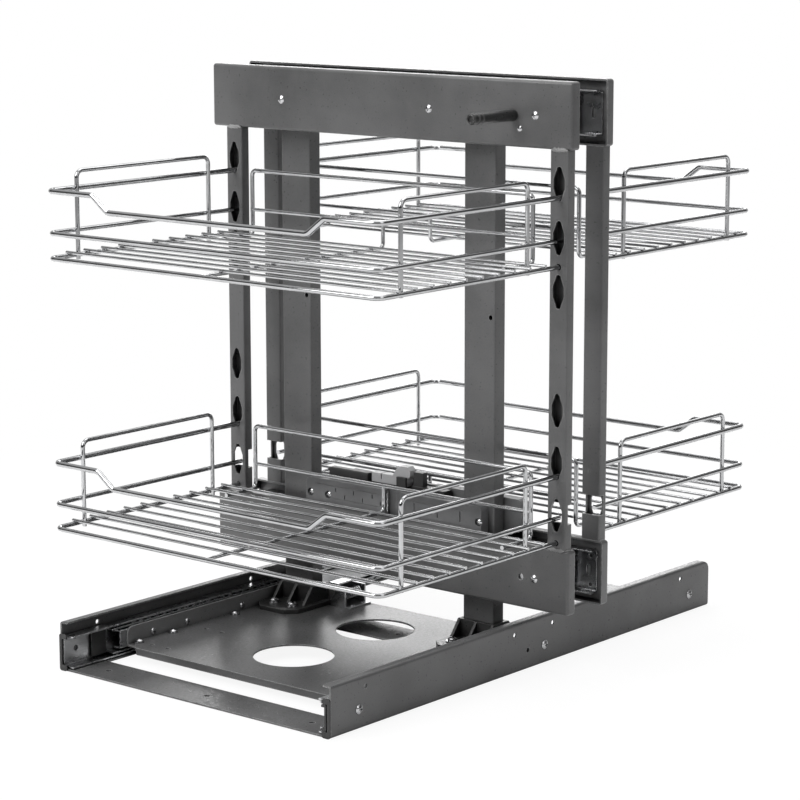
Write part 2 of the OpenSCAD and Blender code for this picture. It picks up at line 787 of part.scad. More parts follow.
// Carrier between the posts: the housings sit on it, and its two lugs hold the lever
module damper_carrier() {
    left = left_post_x + post_w / 2;
    right = right_post_x - post_w / 2;
    top = damper_z + damper_h - carrier_margin;
    color(BLACK) {
        translate([left, post_y - post_t / 2, damper_z + carrier_margin])
            cube([right - left, post_t, damper_h - 2 * carrier_margin]);
        // Bar with a rounded top on the left
        translate([bar_x, post_y - lever_t / 2, top - cut]) rotate([90, 0, 90]) linear_extrude(bar_l)
            rounded_rect([lever_t, bar_top + 3 + cut], 1.5);
        // Flat block and upright stop on the right
        translate([shelf_x, post_y - lever_t / 2 - 1, top - cut])
            cube([shelf_l, lever_t + 2, shelf_top + cut]);
        translate([shelf_x + 1, post_y - lever_t / 2, top])
            cube([stop_w, lever_t - 2, shelf_top + stop_h]);
        translate([lever_x, post_y, 0]) {
            for (s = [-1, 1])
                translate([-lug_w / 2, s * (lever_t / 2 + clear + lug_t / 2) - lug_t / 2, top - cut])
                    cube([lug_w, lug_t, lever_z - top + cut + 4]);
            rod([0, -lever_t / 2 - clear - lug_t / 2, lever_z], "y", lever_t + 2 * clear + lug_t,
                lever_pivot_d);
        }
    }
}

// Light grey catch lever that rocks on its pivot: two blocks on its left arm and a raised thumb piece
module catch_lever() {
    low = -lever_h / 2;
    high = lever_h / 2;
    block = -lever_l + lever_block;
    color(LIGHT) translate([lever_x, post_y, lever_z]) difference() {
        union() {
            rod([0, -lever_t / 2, 0], "y", lever_t, lever_hub_d);
            translate([0, lever_t / 2, 0]) rotate([90, 0, 0]) linear_extrude(lever_t) polygon([
                [-lever_l, low], [-lever_l, high], [block, high], [block, low + 3], [block + 1,
                low + 3],
                [block + 1, high], [-11, high], [-7, 10], [-3, 13], [5, 13], [8, 10], [8, 5], [4,
                2], [4, low]
            ]);
        }
        rod([0, -lever_t / 2 - cut, 0], "y", lever_t + 2 * cut, lever_pivot_d + 0.1);
    }
}

// Folded zinc latch bracket on the platform, open to the right, with two tabs that hold its spring
module platform_latch() {
    color(ZINC) translate([latch_x, latch_y, platform_z]) {
        cube([latch_w, latch_l, sheet]);
        cube([sheet, latch_l, latch_h]);
        translate([0, 0, latch_h - sheet]) cube([latch_roof, latch_l, sheet]);
        for (y = [0, latch_l - sheet]) translate([0, y, 0]) cube([latch_tab, sheet, latch_h - 4]);
        for (y = [latch_l * 0.25, latch_l * 0.75]) rod([latch_w - 3, y, sheet - 0.1], "z", 1.1, 4);
    }
}

// Coil spring of the latch: one round wire wound round an axis along Y
module latch_spring() {
    steps = spring_turns * spring_steps;
    rise = spring_pitch / (2 * PI * spring_r);
    points = [
        for (n = [0 : steps], k = [0 : spring_sides - 1])
            let (
                turn = n * 360 / spring_steps,
                round = k * 360 / spring_sides,
                out = [cos(turn), 0, sin(turn)],
                across = unit([rise * sin(turn), 1, -rise * cos(turn)])
            )
            [spring_r * cos(turn), spring_pitch * n / spring_steps, spring_r * sin(turn)]
                + spring_wire_d / 2 * (cos(round) * out + sin(round) * across)
    ];
    walls = [
        for (n = [0 : steps - 1], k = [0 : spring_sides - 1], half = [0, 1])
            let (a = n * spring_sides + k, b = n * spring_sides + (k + 1) % spring_sides)
            half == 0 ? [a, a + spring_sides, b] : [b, a + spring_sides, b + spring_sides]
    ];
    ends = [
        [for (k = [0 : spring_sides - 1]) k],
        [for (k = [0 : spring_sides - 1]) steps * spring_sides + spring_sides - 1 - k]
    ];
    color(CHROME)
        translate([
            latch_x + latch_w / 2, latch_y + sheet + spring_end_gap + spring_wire_d / 2,
            platform_z + latch_h / 2
        ])
            polyhedron(points, concat(walls, ends));
}

// Slide channel along X with its web at y = 0 and its lips towards +Y, centred on z = 0
module channel_x(x, length) {
    translate([x, 0, -frame_slide_h / 2]) rotate([90, 0, 90]) linear_extrude(length)
        channel_section(frame_slide_h, frame_slide_lip, slide_steel, 2);
}

// Channel on the posts that carries a frame slide
module post_channel(front, z) {
    color(ZINC) front_or_rear(front) translate([0, -post_t / 2, z]) mirror([0, 1, 0])
        channel_x(post_channel_x, post_channel_l);
}

module front_top_post_channel() { post_channel(true, top_slide_z); }
module front_bottom_post_channel() { post_channel(true, bottom_slide_z); }
module rear_top_post_channel() { post_channel(false, top_slide_z); }
module rear_bottom_post_channel() { post_channel(false, bottom_slide_z); }

// I-shaped beam that runs in both channels of a frame slide
module slide_beam(front, z) {
    y = -post_t / 2 - slide_space / 2;
    color(ZINC) front_or_rear(front) translate([post_channel_x + 2, y, z]) {
        for (s = [-1, 1])
            translate([0, -beam_w / 2, s * (beam_h / 2 - slide_steel / 2) - slide_steel / 2])
                cube([beam_l, beam_w, slide_steel]);
        translate([0, -slide_steel, -beam_h / 2]) cube([beam_l, 2 * slide_steel, beam_h]);
    }
}

module front_top_beam() { slide_beam(true, top_slide_z); }
module front_bottom_beam() { slide_beam(true, bottom_slide_z); }
module rear_top_beam() { slide_beam(false, top_slide_z); }
module rear_bottom_beam() { slide_beam(false, bottom_slide_z); }

// Channel inside a rail of a frame
module frame_channel(front, z, hole_drops) {
    color(ZINC) front_or_rear(front) translate([0, -frame_face_y + sheet, z]) difference() {
        channel_x(frame_right - channel_right_inset - frame_channel_l, frame_channel_l);
        for (drop = hole_drops)
            rod([frame_right - channel_right_inset - 6, -cut, drop], "y", slide_steel + 2 * cut, 3.4);
        translate([frame_right - channel_right_inset - 8, -cut, 0]) rotate([-90, 0, 0])
            linear_extrude(slide_steel + 2 * cut) translate(-channel_slot / 2)
                rounded_rect(channel_slot, 1.9);
    }
}

module front_top_channel() { frame_channel(true, top_slide_z, []); }
module front_bottom_channel() { frame_channel(true, bottom_slide_z, [-12, 12]); }
module rear_top_channel() { frame_channel(false, top_slide_z, []); }
module rear_bottom_channel() { frame_channel(false, bottom_slide_z, [-12, 12]); }

// Block from y = 0 to y = depth whose front edges and corners are rounded
module soft_front_block(w, h, depth, r) {
    translate([r, 0, r]) cube([w - 2 * r, depth, h - 2 * r]);
    translate([0, r, r]) cube([w, depth - r, h - 2 * r]);
    translate([r, r, 0]) cube([w - 2 * r, depth - r, h]);
    for (x = [r, w - r]) {
        rod([x, r, r], "z", h - 2 * r, 2 * r);
        for (z = [r, h - r]) {
            rod([x, r, z], "y", depth - r, 2 * r);
            translate([x, r, z]) sphere(r, $fn = 48);
        }
    }
    for (z = [r, h - r]) rod([r, r, z], "x", w - 2 * r, 2 * r);
}

// Folded tray of a top or bottom rail, open towards the posts
module tray(z, screws, hole_x, holes_z) {
    translate([frame_left, -frame_face_y, z]) difference() {
        soft_front_block(frame_w, tray_h, tray_d, bend_r);
        translate([sheet, sheet, sheet])
            soft_front_block(frame_w - 2 * sheet, tray_h - 2 * sheet, tray_d, bend_r - sheet);
        for (x = screws) rod([x, -cut, holes_z], "y", sheet + 2 * cut, screw_d + 2 * clear);
        for (x = hole_x) rod([x, -cut, holes_z], "y", sheet + 2 * cut, screw_d + 1.6);
        // Gap in the left end, through which the slide beam runs out
        translate([-cut, sheet + (slide_space - beam_w) / 2 - 2 * clear,
            holes_z - beam_h / 2 - 2 * clear])
            cube([sheet + 2 * cut, tray_d, beam_h + 4 * clear]);
    }
}

top_screw_z = top_slide_z - (frame_top - tray_h);
bottom_screw_z = bottom_slide_z - frame_bottom;

module top_rail(front) {
    color(DARK) front_or_rear(front) difference() {
        tray(frame_top - tray_h, frame_screw_x, [], top_screw_z);
        rod([frame_right - peg_inset, -frame_face_y - cut, peg_z], "y", sheet + 2 * cut,
            peg_collar_d + 2 * clear);
    }
}

module bottom_rail(front) {
    color(DARK) front_or_rear(front)
        tray(frame_bottom, bottom_screw_x, [bottom_hole_x], bottom_screw_z);
}

module front_top_rail() { top_rail(true); }
module front_bottom_rail() { bottom_rail(true); }
module rear_top_rail() { top_rail(false); }
module rear_bottom_rail() { bottom_rail(false); }

// Long hole with narrow rounded ends, centred on the origin
module long_hole() {
    tip_z = hole_h / 2 - hole_tip_w / 2;
    polygon([
        [-hole_tip_w / 2, tip_z], [hole_tip_w / 2, tip_z], [hole_w / 2, hole_belly / 2],
        [hole_w / 2, -hole_belly / 2],
        [hole_tip_w / 2, -tip_z], [-hole_tip_w / 2, -tip_z], [-hole_w / 2, -hole_belly / 2],
        [-hole_w / 2, hole_belly / 2]
    ]);
    for (s = [-1, 1]) translate([0, s * tip_z]) circle(d = hole_tip_w, $fn = 40);
}

// Tube-shaped stile between the rails, with the long holes that take the baskets
module stile(front, x) {
    bottom = frame_bottom + tray_h;
    height = frame_top - tray_h - bottom;
    color(DARK) front_or_rear(front) difference() {
        translate([x, -frame_face_y, bottom]) linear_extrude(height) difference() {
            rounded_rect([stile_w, tray_d], stile_r);
            translate([sheet, sheet]) square([stile_w - 2 * sheet, tray_d - 2 * sheet]);
        }
        for (z = hole_levels)
            translate([x + stile_w / 2, -frame_face_y - cut, z]) rotate([90, 0, 0])
                translate([0, 0, -sheet - 2 * cut]) linear_extrude(sheet + 2 * cut) long_hole();
        for (z = [upper_rim_z, lower_rim_z])
            rod([x + stile_w / 2, -frame_face_y - cut, z - basket_h], "y", sheet + 2 * cut, pin_hole_d);
        translate([x - cut, -frame_face_y + 4, notch_z]) cube([stile_w + 2 * cut, tray_d, notch_h]);
    }
}

module front_left_stile() { stile(true, left_stile_x); }
module front_right_stile() { stile(true, right_stile_x); }
module rear_left_stile() { stile(false, left_stile_x); }
module rear_right_stile() { stile(false, right_stile_x); }

// Chrome screws through the rails into the slide channels, and one rivet
module frame_screws(front) {
    color(CHROME) front_or_rear(front) {
        for (x = frame_screw_x) frame_screw(frame_left + x, top_slide_z);
        for (x = bottom_screw_x) frame_screw(frame_left + x, bottom_slide_z);
        translate([frame_left + rivet_x, -frame_face_y, top_slide_z - rivet_drop]) rotate([90, 0, 0])
            pan_head(rivet_d, 1.2, false);
    }
}

module frame_screw(x, z) {
    translate([x, -frame_face_y, z]) rotate([90, 0, 0]) {
        pan_head(screw_head_d - 1, screw_head_h - 0.8);
        translate([0, 0, -sheet]) cylinder(h = sheet + cut, d = screw_d, $fn = 32);
    }
}

module front_screws() { frame_screws(true); }
module rear_screws() { frame_screws(false); }

// Peg handle: a turned bar with two grooves near its tip and a screwed end
module peg(front) {
    color(BLACK) front_or_rear(front)
        translate([frame_right - peg_inset, -frame_face_y, peg_z]) rotate([90, 0, 0]) {
            translate([0, 0, -sheet]) cylinder(h = sheet + cut, d = peg_collar_d, $fn = 48);
            rotate_extrude($fn = 64) polygon([
                [0, 0], [peg_d / 2, 0], [peg_d / 2, peg_l - 12], [peg_d / 2 - peg_groove,
                peg_l - 12 + 0.3],
                [peg_d / 2 - peg_groove, peg_l - 12 + peg_groove_l], [peg_d / 2,
                peg_l - 12 + peg_groove_l + 0.3],
                [peg_d / 2, peg_l - 7], [peg_d / 2 - peg_groove, peg_l - 7 + 0.3],
                [peg_d / 2 - peg_groove, peg_l - 7 + peg_groove_l], [peg_d / 2,
                peg_l - 7 + peg_groove_l + 0.3],
                [peg_d / 2, peg_l - 1], [peg_d / 2 - 1, peg_l], [peg_d / 2 - 2, peg_l],
                [peg_d / 2 - 2, peg_l - 1.4], [0, peg_l - 1.4]
            ]);
        }
}

module front_peg() { peg(true); }
module rear_peg() { peg(false); }

function unit(v) = v / norm(v);

// Straight wire between two points
module straight(a, b, d) {
    v = b - a;
    translate(a) rotate([0, acos(v.z / norm(v)), atan2(v.y, v.x)])
        cylinder(h = norm(v), d = d, $fn = 24);
}

// Bend in a wire: an arc of radius r round a corner, between two directions
module bend(corner, u, v, r, d) {
    angle = acos(u * v);
    reach = r * tan(angle / 2);
    start = corner - reach * u;
    out = unit(v - (u * v) * u);
    up = cross(-out, u);
    centre = start + r * out;
    // Local x points from the centre to the start, local y along the wire
    multmatrix([
        [-out.x, u.x, up.x, centre.x],
        [-out.y, u.y, up.y, centre.y],
        [-out.z, u.z, up.z, centre.z],
        [0, 0, 0, 1]
    ]) rotate_extrude(angle = angle, $fn = 96) translate([r, 0]) circle(d = d, $fn = 24);
}

// Wire along a path; r is the bend radius, or a list with one radius per point
module wire(points, d, r) {
    last = len(points) - 1;
    radii = [for (n = [0 : last]) is_list(r) ? r[n] : r];
    dirs = [for (n = [0 : last - 1]) unit(points[n + 1] - points[n])];
    reach = [for (n = [0 : last])
        n == 0 || n == last ? 0 : radii[n] * tan(acos(dirs[n - 1] * dirs[n]) / 2)];
    for (n = [0 : last - 1])
        straight(points[n] + reach[n] * dirs[n], points[n + 1] - reach[n + 1] * dirs[n], d);
    if (last > 1)
        for (n = [1 : last - 1]) bend(points[n], dirs[n - 1], dirs[n], radii[n], d);
}

// Wire basket that hooks into the stiles of a frame; y = 0 is the face of the stiles
module basket() {
    half = basket_w / 2;
    rim = basket_h;
    r = wire_bend_r;
    cross_d = gallery_d - 0.4;
    floor_z = side_d / 2 + floor_wire_d / 2 - weld;
    cross_z = floor_z - floor_wire_d / 2 - cross_d / 2 + weld;
    foot_z = floor_z - floor_wire_d / 2 - gallery_d / 2 + weld;
    side_x = half - gallery_inset;
    // The slopes of the dip fall three parts in four
    dip_top = dip_half + dip_h * 4 / 3;
    // Rim with its dip, hooked down behind the stiles at both ends
    wire([
        [-half, hook_y, rim - hook_l], [-half, hook_y, rim], [-half, -basket_d, rim], [-dip_top,
        -basket_d, rim],
        [-dip_half, -basket_d, rim - dip_h], [dip_half, -basket_d, rim - dip_h], [dip_top,
        -basket_d, rim],
        [half, -basket_d, rim], [half, hook_y, rim], [half, hook_y, rim - hook_l]
    ], rim_d, [0, hook_r, r, r, r, r, r, r, hook_r, 0]);
    // Middle and bottom wires, with straight ends that enter the stiles
    for (z = [middle_wire_h, 0])
        wire([[-half, hook_y, z], [-half, -basket_d, z], [half, -basket_d, z], [half, hook_y, z]],
            side_d, r);
    // Side galleries
    for (s = [-1, 1])
        wire([
            [s * side_x, -gallery_near, -side_d / 2 - 1], [s * side_x, -gallery_near,
            rim + gallery_rise],
            [s * side_x, -gallery_far, rim + gallery_rise], [s * side_x, -gallery_far, -side_d / 2 - 1]
        ], gallery_d, gallery_bend_r);
    // Back gallery with its feet under the floor wires
    wire([
        [-back_leg_x, -back_foot_l, foot_z], [-back_leg_x, -back_gallery_y, foot_z],
        [-back_leg_x, -back_gallery_y, rim + 1.5], [back_leg_x, -back_gallery_y, rim + 1.5],
        [back_leg_x, -back_gallery_y, foot_z], [back_leg_x, -back_foot_l, foot_z]
    ], gallery_d, gallery_bend_r - 1);
    straight([-back_leg_x, -back_gallery_y, rim - back_mid_drop],
        [back_leg_x, -back_gallery_y, rim - back_mid_drop],
        cross_d);
    // Cross wire under the floor wires, bent up to the back gallery
    wire([
        [cross_wire_x, -basket_d, cross_z], [cross_wire_x, -back_gallery_y, cross_z],
        [cross_wire_x, -back_gallery_y, rim - back_mid_drop]
    ], cross_d, gallery_bend_r - 1);
    // Floor wires
    for (n = [0 : floor_wires - 1])
        straight([-half - side_d / 2, -basket_d + first_floor_wire + n * floor_pitch, floor_z],
            [half + side_d / 2, -basket_d + first_floor_wire + n * floor_pitch, floor_z], floor_wire_d);
}

module placed_basket(front, rim_z) {
    color(CHROME) front_or_rear(front) translate([basket_x, -frame_face_y, rim_z - basket_h]) basket();
}

module front_upper_basket() { placed_basket(true, upper_rim_z); }
module front_lower_basket() { placed_basket(true, lower_rim_z); }
module rear_upper_basket() { placed_basket(false, upper_rim_z); }
module rear_lower_basket() { placed_basket(false, lower_rim_z); }

left_base_rail();
right_base_rail();
front_cross_plate();
middle_cross_plate();
rear_cross_plate();
rail_end_caps();
base_rail_screws();
left_base_channel();
right_base_channel();
base_slide_buffers();
left_base_beam();
right_base_beam();
base_ball_cages();
left_platform_slide();
right_platform_slide();
left_platform_bracket();
right_platform_bracket();
platform();
platform_screws();
left_foot();
right_foot();
foot_bolts();
left_post();
right_post();
front_damper();
rear_damper();
damper_screws();
damper_carrier();
catch_lever();
platform_latch();
latch_spring();
front_top_post_channel();
front_bottom_post_channel();
rear_top_post_channel();
rear_bottom_post_channel();
front_top_beam();
front_bottom_beam();
rear_top_beam();
rear_bottom_beam();
front_top_rail();
front_bottom_rail();
front_left_stile();
front_right_stile();
front_top_channel();
front_bottom_channel();
front_screws();
front_peg();
front_upper_basket();
front_lower_basket();
rear_top_rail();
rear_bottom_rail();
rear_left_stile();
rear_right_stile();
rear_top_channel();
rear_bottom_channel();
rear_screws();
rear_peg();
rear_upper_basket();
rear_lower_basket();
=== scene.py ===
import json
import math
import random

import bmesh
import bpy
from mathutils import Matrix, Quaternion, Vector


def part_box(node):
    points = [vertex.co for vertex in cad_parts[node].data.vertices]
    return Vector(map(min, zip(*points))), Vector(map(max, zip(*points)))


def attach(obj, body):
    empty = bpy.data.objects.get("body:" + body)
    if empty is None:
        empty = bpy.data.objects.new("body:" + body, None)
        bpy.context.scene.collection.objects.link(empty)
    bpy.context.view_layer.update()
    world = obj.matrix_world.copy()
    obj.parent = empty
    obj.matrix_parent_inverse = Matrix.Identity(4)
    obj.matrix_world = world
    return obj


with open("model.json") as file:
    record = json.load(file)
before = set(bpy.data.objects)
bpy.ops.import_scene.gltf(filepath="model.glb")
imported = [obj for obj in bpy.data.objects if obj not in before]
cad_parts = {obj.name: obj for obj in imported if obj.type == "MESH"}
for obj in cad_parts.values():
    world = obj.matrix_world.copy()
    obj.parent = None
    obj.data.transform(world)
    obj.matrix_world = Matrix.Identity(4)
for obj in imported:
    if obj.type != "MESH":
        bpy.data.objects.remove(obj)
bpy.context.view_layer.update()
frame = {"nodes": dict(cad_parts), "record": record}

NODES = frame["nodes"]
SLOTS = {row["node"]: row["material_slot"] for row in frame["record"]["subparts"]}
random.seed(7)

# All lengths are in metres.
BALL_PITCH = 0.009                  # from ball to ball along the base's cages
SAME_POINT = 1e-6                   # imported corners nearer than this become one
SMOOTH_BELOW = math.radians(32)     # an edge that turns further stays sharp
BEVEL_SAMPLES = 4
HOLLOW_SAMPLES = 24
MIX_A, MIX_B, MIX_RESULT = 6, 7, 2  # the colour sockets of a Mix node

BEAD_STEP = 0.0005                  # from ring to ring along a weld seam
BEAD_SIDES = 10
BEAD_FLATNESS = 0.55                # a seam's height as a share of its width
FACE_BEAD = 0.0019                  # half width of a seam on a stile's face
FACE_BEAD_INSET = 0.0008            # its ends from the stile's sides
FACE_BEAD_SINK = 0.0002             # its middle line behind the face
SIDE_BEAD = 0.0015                  # the same for a seam on a stile's outer side
SIDE_BEAD_INSET = 0.001
SIDE_BEAD_SINK = 0.0004

WIRE_RADIUS = 0.00055
WIRE_SINK = 0.0002                  # the bent wire's middle line behind the damper's front
WIRE_POINTS = [                     # across and up
    (0.0032, 0.1285), (0.0018, 0.1262), (0.0036, 0.1238), (0.002, 0.121), (0.0035, 0.1182),
    (0.0021, 0.1155), (0.003, 0.1128), (0.0016, 0.1102), (-0.0018, 0.1084), (-0.0055, 0.1076)]

FLOOR_HALF = 30.0
FLOOR_DROP = 0.0002                 # the floor lies this far below the object
ROOM_STRENGTH = 0.85

CAMERA_PLACE = (1.44385, -1.72643, 0.62526)
CAMERA_AZIMUTH = math.radians(39.864)
CAMERA_ELEVATION = math.radians(10.567)
CAMERA_ROLL = math.radians(-0.076)
CAMERA_LENS = 122.258               # millimetres, on a frame 36 mm wide


# ---------------------------------------------------------------- materials
def scaled(colour, factor):
    return tuple(c * factor for c in colour)


class Shader:
    """A small helper that builds one node material."""

    SOCKETS = {"colour": "Base Color", "rough": "Roughness", "metal": "Metallic",
               "normal": "Normal", "specular": "Specular IOR Level"}

    def __init__(self, name):
        self.mat = bpy.data.materials.new(name)
        self.mat.use_nodes = True
        self.tree = self.mat.node_tree
        self.bsdf = self.tree.nodes["Principled BSDF"]
        self.coord = self.new("ShaderNodeTexCoord").outputs["Object"]

    def new(self, kind, **values):
        node = self.tree.nodes.new(kind)
        for key, value in values.items():
            setattr(node, key, value)
        return node

    def link(self, source, target):
        self.tree.links.new(source, target)

    def noise(self, scale, detail=2.0, rough=0.5, stretch=(1, 1, 1)):
        mapping = self.new("ShaderNodeMapping")
        mapping.inputs["Scale"].default_value = stretch
        self.link(self.coord, mapping.inputs["Vector"])
        node = self.new("ShaderNodeTexNoise")
        node.inputs["Scale"].default_value = scale
        node.inputs["Detail"].default_value = detail
        node.inputs["Roughness"].default_value = rough
        self.link(mapping.outputs["Vector"], node.inputs["Vector"])
        return node.outputs["Fac"]

    def ramp(self, source, first, second):
        """Colour from one (place, colour) to the other."""
        node = self.new("ShaderNodeValToRGB")
        for element, (place, colour) in zip(node.color_ramp.elements, (first, second)):
            element.position = place
            element.color = (*colour, 1)
        self.link(source, node.inputs["Fac"])
        return node.outputs["Color"]

    def range(self, source, low, high, start=0.3, end=0.7):
        """The source's values from start to end become low to high."""
        node = self.new("ShaderNodeMapRange")
        node.inputs["From Min"].default_value = start
        node.inputs["From Max"].default_value = end
        node.inputs["To Min"].default_value = low
        node.inputs["To Max"].default_value = high
        self.link(source, node.inputs["Value"])
        return node.outputs["Result"]

    def multiply(self, first, second):
        node = self.new("ShaderNodeMath", operation="MULTIPLY")
        self.link(first, node.inputs[0])
        self.link(second, node.inputs[1])
        return node.outputs[0]

    def multiply_add(self, source, factor, addend):
        node = self.new("ShaderNodeMath", operation="MULTIPLY_ADD")
        self.link(source, node.inputs[0])
        node.inputs[1].default_value = factor
        self.link(addend, node.inputs[2])
        return node.outputs[0]

    def mix(self, fac, first, second):
        node = self.new("ShaderNodeMix", data_type="RGBA", blend_type="MIX")
        self.link(fac, node.inputs["Factor"])
        self.link(first, node.inputs[MIX_A])
        node.inputs[MIX_B].default_value = (*second, 1)
        return node.outputs[MIX_RESULT]

    def bump(self, source, strength, distance, under=None):
        node = self.new("ShaderNodeBump")
        node.inputs["Strength"].default_value = strength
        node.inputs["Distance"].default_value = distance
        self.link(source, node.inputs["Height"])
        if under:
            self.link(under, node.inputs["Normal"])
        return node.outputs["Normal"]

    def edges(self, radius, start=0.02, end=0.35):
        """The rounded normal, and a mask that is 1 along edges and 0 on a plain face."""
        bevel = self.new("ShaderNodeBevel", samples=BEVEL_SAMPLES)
        bevel.inputs["Radius"].default_value = radius
        face = self.new("ShaderNodeNewGeometry").outputs["Normal"]
        dot = self.new("ShaderNodeVectorMath", operation="DOT_PRODUCT")
        self.link(bevel.outputs["Normal"], dot.inputs[0])
        self.link(face, dot.inputs[1])
        turn = self.new("ShaderNodeMath", operation="SUBTRACT")
        turn.inputs[0].default_value = 1.0
        self.link(dot.outputs["Value"], turn.inputs[1])
        mask = self.range(turn.outputs[0], low=0.0, high=1.0, start=start, end=end)
        return bevel.outputs["Normal"], mask

    def painted_hollow_shade(self, distance):
        """A mask that is 1 in a hollow and 0 in the open, for painted shade: recesses and folds
        are painted darker where shade falls.
        """
        shade = self.new("ShaderNodeAmbientOcclusion", samples=HOLLOW_SAMPLES)
        shade.inputs["Distance"].default_value = distance
        return self.range(shade.outputs["AO"], low=1.0, high=0.0, start=0.2, end=0.62)

    def set(self, **values):
        for key, value in values.items():
            socket = self.bsdf.inputs[self.SOCKETS[key]]
            if isinstance(value, bpy.types.NodeSocket):
                self.link(value, socket)
            elif key == "colour":
                socket.default_value = (*value, 1)
            else:
                socket.default_value = value
        return self.mat


def powder_coat(name, dark, light, edge_wear_and_highlight, grain=0.09):
    """Textured coat: fine orange peel, lighter specks, edges partly worn and partly a painted
    highlight, painted shade in hollows.
    """
    s = Shader(name)
    specks = s.noise(1700, detail=3, rough=0.65)
    clouds = s.noise(11, detail=4, rough=0.6)
    colour = s.ramp(s.multiply_add(specks, 0.7, clouds), (0.55, dark), (1.0, light))
    rounded, edge = s.edges(0.0011, start=0.01, end=0.2)
    patchy_wear_and_highlight = s.range(s.noise(170, detail=4, rough=0.7), low=0.25, high=1.0, start=0.35, end=0.6)
    # Lighter edges: partly wear, partly a painted highlight along the folds.
    colour = s.mix(s.multiply(edge, patchy_wear_and_highlight), colour, edge_wear_and_highlight)
    # Painted shade: hollows and folds darkened towards a darker coat colour.
    colour = s.mix(s.painted_hollow_shade(0.02), colour, scaled(dark, 0.35))
    rough = s.range(s.noise(420), low=0.27, high=0.4)
    peel = s.noise(1000, detail=3, rough=0.7)
    normal = s.bump(peel, strength=grain, distance=0.0005, under=rounded)
    return s.set(colour=colour, rough=rough, normal=normal, metal=0.0, specular=0.5)


def chrome(name, tint=(0.46, 0.463, 0.47), low=0.02, high=0.07, painted_recess_shade=None):
    """Polished metal, a little uneven, with roughness from low to high and painted shade in
    recesses.
    """
    s = Shader(name)
    rough = s.range(s.noise(90, detail=4, rough=0.6), low, high)
    clouds = s.noise(45, detail=4, rough=0.6)
    colour = s.ramp(clouds, (0.3, scaled(tint, 0.8)), (0.7, tint))
    # Painted shade: recesses, such as a screw's cross recess, darkened to near black.
    if painted_recess_shade:
        colour = s.mix(s.painted_hollow_shade(painted_recess_shade), colour, (0.03, 0.03, 0.032))
    normal = s.bump(s.noise(160), strength=0.06, distance=0.0004)
    return s.set(colour=colour, rough=rough, normal=normal, metal=1.0)


def zinc(name):
    """Drawn zinc-plated strip: lines along the strip, a painted highlight on the rolled edges,
    painted shade in the hollows.
    """
    s = Shader(name)
    lines = s.noise(900, detail=3, rough=0.6, stretch=(1, 0.04, 1))
    blotches = s.noise(35, detail=3)
    colour = s.ramp(s.multiply_add(lines, 0.35, blotches),
                    (0.45, (0.34, 0.343, 0.35)), (0.9, (0.56, 0.564, 0.572)))
    rounded, edge = s.edges(0.0005)
    # Painted highlight: the rolled edges lightened.
    colour = s.mix(edge, colour, (0.8, 0.8, 0.81))
    # Painted shade: hollows darkened.
    colour = s.mix(s.painted_hollow_shade(0.006), colour, (0.07, 0.071, 0.073))
    rough = s.range(s.noise(60, detail=3), low=0.22, high=0.34)
    normal = s.bump(lines, strength=0.02, distance=0.0002, under=rounded)
    return s.set(colour=colour, rough=rough, normal=normal, metal=1.0)


def ball_cage(name):
    """Bright balls and dark strip between them, in step with the balls along Y."""
    s = Shader(name)
    split = s.new("ShaderNodeSeparateXYZ")
    s.link(s.coord, split.inputs[0])
    wave = s.new("ShaderNodeMath", operation="PINGPONG")
    wave.inputs[1].default_value = BALL_PITCH / 2
    s.link(split.outputs["Y"], wave.inputs[0])
    share = s.range(wave.outputs[0], low=0, high=1, start=0.0, end=BALL_PITCH / 2)
    colour = s.ramp(share, (0.38, (0.02, 0.02, 0.022)), (0.5, (0.6, 0.6, 0.62)))
    rough = s.range(s.noise(300), low=0.2, high=0.35)
    normal = s.bump(s.noise(700), strength=0.1, distance=0.0003)
    return s.set(colour=colour, rough=rough, normal=normal, metal=1.0)


def plastic(name, dark, light, edge_wear_and_highlight, rough=(0.38, 0.52)):
    """Moulded plastic: faint clouds, fine grain, edges partly worn and partly a painted highlight,
    painted shade in hollows.
    """
    s = Shader(name)
    colour = s.ramp(s.noise(40, detail=4, rough=0.6), (0.3, dark), (0.7, light))
    rounded, edge = s.edges(0.0005)
    # Lighter edges: partly wear, partly a painted highlight.
    colour = s.mix(edge, colour, edge_wear_and_highlight)
    # Painted shade: hollows darkened.
    colour = s.mix(s.painted_hollow_shade(0.004), colour, scaled(dark, 0.2))
    roughness = s.range(s.noise(300), *rough)
    normal = s.bump(s.noise(1400), strength=0.14, distance=0.0003, under=rounded)
    return s.set(colour=colour, rough=roughness, normal=normal, specular=0.5)


# The edge colours below are partly wear and partly a painted highlight.
MATERIALS = {
    "powder_coat": powder_coat("powder_coat", dark=(0.032, 0.032, 0.0325),
                               light=(0.092, 0.092, 0.093), edge_wear_and_highlight=(0.42, 0.42, 0.42)),
    "grey_coat": powder_coat("grey_coat", dark=(0.1, 0.1, 0.101),
                             light=(0.17, 0.17, 0.17), edge_wear_and_highlight=(0.4, 0.4, 0.4)),
    "black_coat": powder_coat("black_coat", dark=(0.008, 0.008, 0.008),
                              light=(0.022, 0.022, 0.022), edge_wear_and_highlight=(0.14, 0.14, 0.14), grain=0.08),
    "chrome": chrome("chrome"),
    "zinc": zinc("zinc"),
    "black_plastic": plastic("black_plastic", dark=(0.008, 0.008, 0.008),
                             light=(0.02, 0.02, 0.02), edge_wear_and_highlight=(0.1, 0.1, 0.1)),
    "grey_plastic": plastic("grey_plastic", dark=(0.085, 0.086, 0.088),
                            light=(0.125, 0.126, 0.128), edge_wear_and_highlight=(0.3, 0.3, 0.3),
                            rough=(0.42, 0.55)),
    "light_plastic": plastic("light_plastic", dark=(0.3, 0.3, 0.305),
                             light=(0.38, 0.38, 0.385), edge_wear_and_highlight=(0.6, 0.6, 0.6)),
}
